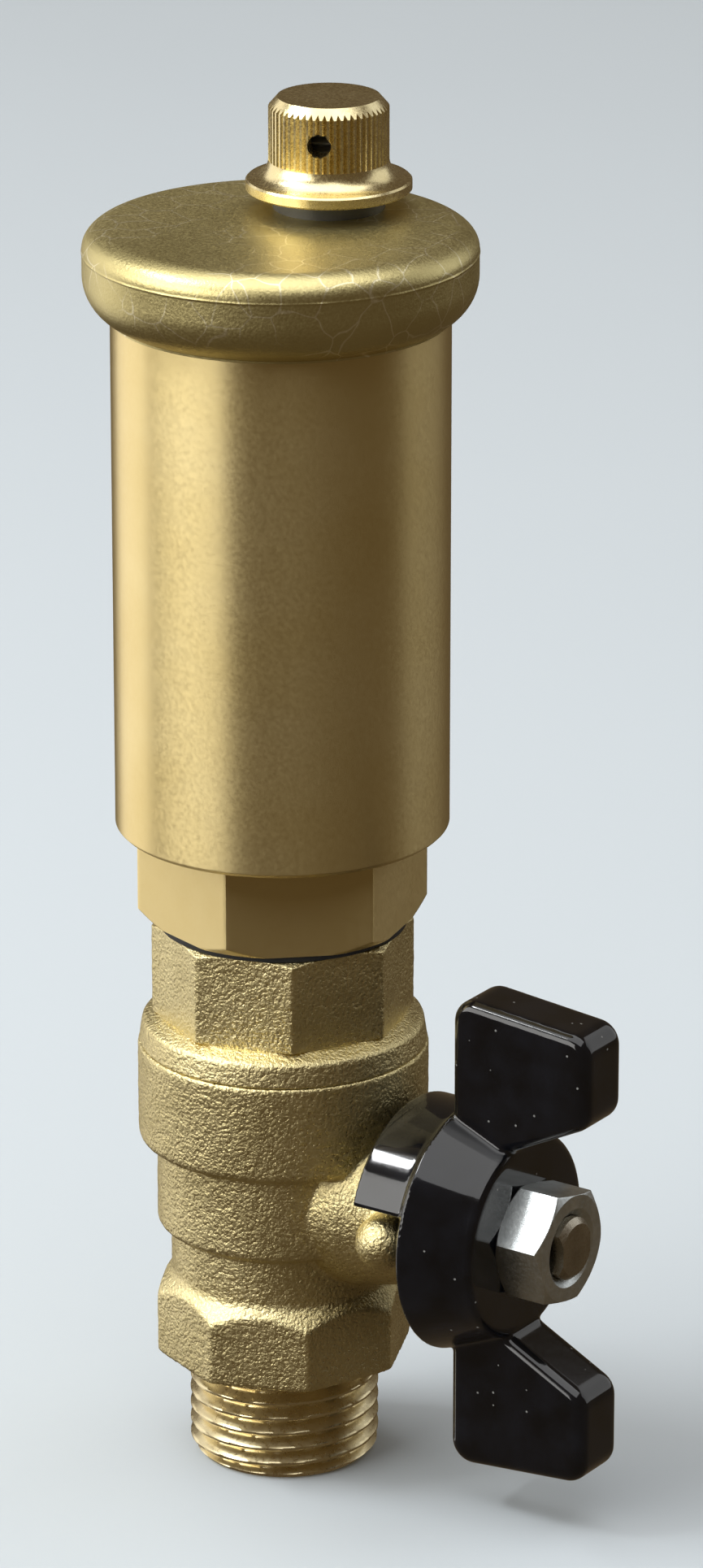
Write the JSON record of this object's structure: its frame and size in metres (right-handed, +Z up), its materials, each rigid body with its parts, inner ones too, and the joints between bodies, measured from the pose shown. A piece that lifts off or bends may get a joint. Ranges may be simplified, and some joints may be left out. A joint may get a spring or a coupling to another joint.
{
  "type": "automatic air vent",
  "caption": "Brass float air vent on a small ball valve, with a knurled vent cap, hexagon body, threaded inlet and black butterfly handle.",
  "frame": {"origin": "on the pipe axis, at the shoulder above the inlet thread", "axes": "+Z up the vent away from the inlet; +X out along the ball valve's stem to its handle; -Z out of the inlet"},
  "size_m": [0.0629, 0.0424, 0.1531],
  "materials": {
    "turned_brass": "turned, satin",
    "stamped_brass": "sand-blasted, matt",
    "cast_brass": "fine sand-cast grain with machined thread and flats",
    "cap_brass": "bright turned and knurled",
    "black_gloss": "gloss black paint on die-cast metal",
    "zinc": "zinc plated",
    "stem_brass": "machined",
    "ball_chrome": "polished chrome plate",
    "white_seat": "smooth PTFE",
    "black_rubber": "smooth moulded rubber",
    "grey_plastic": "moulded, dull",
    "float_plastic": "moulded polypropylene",
    "steel": "bright stainless"
  },
  "bodies": {
    "fitting": {"valve_body": "cast_brass", "lower_seat_ring": "white_seat", "upper_seat_ring": "white_seat", "end_adapter": "cast_brass", "adapter_seal": "black_rubber", "stem_thrust_washer": "white_seat", "joint_gasket": "black_rubber", "vent_body": "turned_brass", "cover_seal": "black_rubber", "vent_cover": "stamped_brass", "vent_nozzle": "grey_plastic", "nozzle_seal": "black_rubber", "nozzle_nut": "stem_brass", "lever_bracket": "steel", "lever_pin": "steel"},
    "valve_works": {"valve_handle": "black_gloss", "handle_nut": "zinc", "valve_stem": "stem_brass", "stem_orings": "black_rubber", "valve_ball": "ball_chrome"},
    "cap_carrier": {"cap_washer": "black_rubber"},
    "cap": {"vent_cap": "cap_brass"},
    "float": {"vent_float": "float_plastic", "float_hook": "float_plastic"},
    "lever": {"float_lever": "steel"},
    "shutter_works": {"shutter": "float_plastic", "shutter_seal": "black_rubber", "shutter_spring": "steel"}
  },
  "joints": [
    {"name": "handle_turn", "type": "hinge", "parent": "fitting", "child": "valve_works", "pos_m": [0.022, 0, 0.02035], "axis": [1, 0, 0], "range_deg": [-90, 0]},
    {"name": "cap_lift", "type": "slide", "parent": "fitting", "child": "cap_carrier", "axis": [0, 0, 1], "range_m": [-0.0004, 0.002]},
    {"name": "cap_turn", "type": "hinge", "parent": "cap_carrier", "child": "cap", "pos_m": [0, 0.0091, 0.1306], "axis": [0, 0, 1], "range_deg": [-144, 720]},
    {"name": "float_rise", "type": "slide", "parent": "fitting", "child": "float", "axis": [0, 0, 1], "range_m": [0, 0.00323]},
    {"name": "lever_tilt", "type": "hinge", "parent": "fitting", "child": "lever", "pos_m": [0, 0.0129, 0.1166], "axis": [-1, 0, 0], "range_deg": [0, 14.32]},
    {"name": "shutter_slide", "type": "slide", "parent": "fitting", "child": "shutter_works", "axis": [0, 0, 1], "range_m": [0, 0.00095], "deforming": ["shutter_spring"]}
  ],
  "couplings": [
    {"joint": "cap_turn", "follows": "cap_lift", "rad_per_m": 6283.2},
    {"joint": "lever_tilt", "follows": "float_rise", "rad_per_m": 77.519},
    {"joint": "shutter_slide", "follows": "float_rise", "ratio": 0.29457}
  ]
}
